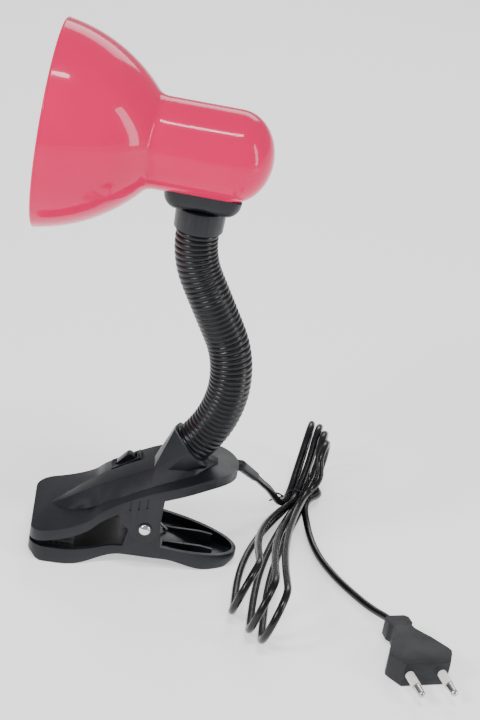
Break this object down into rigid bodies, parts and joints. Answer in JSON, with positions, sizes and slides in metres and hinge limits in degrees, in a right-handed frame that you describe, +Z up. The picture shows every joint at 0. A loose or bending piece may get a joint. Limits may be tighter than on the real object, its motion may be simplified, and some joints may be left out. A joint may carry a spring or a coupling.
{
  "type": "clip-on reading lamp",
  "caption": "Clip-on reading lamp: bell-shaped pink shade on a bendable neck over a sprung black clip with a rocker switch, its mains cord tied in a hank.",
  "frame": {"origin": "centre of the front foot's flat underside, where the lower jaw rests on a table", "axes": "+Z up, +X from the jaws' lips back to the handles, so the shade opens towards -X; the switch is on the +Y side"},
  "size_m": [0.2573, 0.2509, 0.2953],
  "materials": {
    "black_plastic": "satin moulded black plastic, fine grain",
    "neck_plastic": "satin black ribbed hose",
    "grip_rubber": "matt black rubber",
    "bright_steel": "bright plated steel",
    "spring_steel": "drawn steel wire and strip",
    "plug_metal": "nickel-plated brass pins",
    "brass": "plain brass",
    "pink_enamel": "glossy coral-pink stove enamel on spun steel",
    "white_ceramic": "glazed white steatite",
    "opal_glass": "frosted white glass",
    "bulb_cap": "spun aluminium screw cap",
    "wire_insulation": "brown and blue insulation",
    "cord_vinyl": "glossy black vinyl sheath",
    "tie_plastic": "black plastic-covered twist wire",
    "pale_plastic": "pale insulating sleeves"
  },
  "bodies": {
    "clip": {"upper_jaw": "black_plastic", "upper_grip_pad": "grip_rubber", "pivot_pin": "bright_steel", "pin_washers": "bright_steel", "clip_spring": "spring_steel", "neck_housing": "black_plastic", "housing_screws": "bright_steel", "switch_bezel": "black_plastic", "switch_body": "black_plastic", "switch_terminals": "brass", "clip_wires": "wire_insulation", "cord_relief": "black_plastic", "neck_sheath_base": "neck_plastic", "neck_core_base": "spring_steel", "cord_lead": "cord_vinyl", "cord_hank": "cord_vinyl", "cord_tail": "cord_vinyl", "cord_tie": "tie_plastic", "plug_body": "black_plastic", "plug_pin_sleeves": "pale_plastic", "plug_pins": "plug_metal"},
    "lower_jaw": {"lower_jaw": "black_plastic", "lower_grip_pad": "grip_rubber", "spring_lower_leg": "spring_steel"},
    "switch_rocker": {"switch_rocker": "black_plastic"},
    "neck_low": {"neck_sheath_low": "neck_plastic", "neck_core_low": "spring_steel"},
    "neck_high": {"neck_sheath_high": "neck_plastic", "neck_core_high": "spring_steel"},
    "head": {"neck_sheath_top": "neck_plastic", "neck_core_top": "spring_steel", "head_saddle": "black_plastic", "shade": "pink_enamel", "saddle_nut": "bright_steel", "holder_bracket": "spring_steel", "holder_screw": "bright_steel", "lampholder": "white_ceramic", "lampholder_shell": "brass", "lampholder_contact": "brass", "head_wires": "wire_insulation", "bulb_glass": "opal_glass", "bulb_cap": "bulb_cap", "bulb_contact": "brass"}
  },
  "joints": [
    {"name": "jaw_pivot", "type": "hinge", "parent": "clip", "child": "lower_jaw", "pos_m": [0.046, 0, 0.0265], "axis": [0, -1, 0], "range_deg": [0, 28], "stiffness_Nm_per_rad": 0.8, "springref_deg": -45.84},
    {"name": "switch_rock", "type": "hinge", "parent": "clip", "child": "switch_rocker", "pos_m": [0.03198, 0.0195, 0.0424], "axis": [0, 1, 0], "range_deg": [0, 14]},
    {"name": "neck_bend_low", "type": "hinge", "parent": "clip", "child": "neck_low", "pos_m": [0.07941, 0, 0.10238], "axis": [0, 1, 0], "range_deg": [-25, 25]},
    {"name": "neck_lean", "type": "hinge", "parent": "neck_low", "child": "neck_high", "pos_m": [0.06373, 0, 0.15342], "axis": [0.8704, 0, 0.4924], "range_deg": [-25, 25]},
    {"name": "neck_nod", "type": "hinge", "parent": "neck_high", "child": "head", "pos_m": [0.05039, 0, 0.18062], "axis": [0, 1, 0], "range_deg": [-23, 23]}
  ]
}
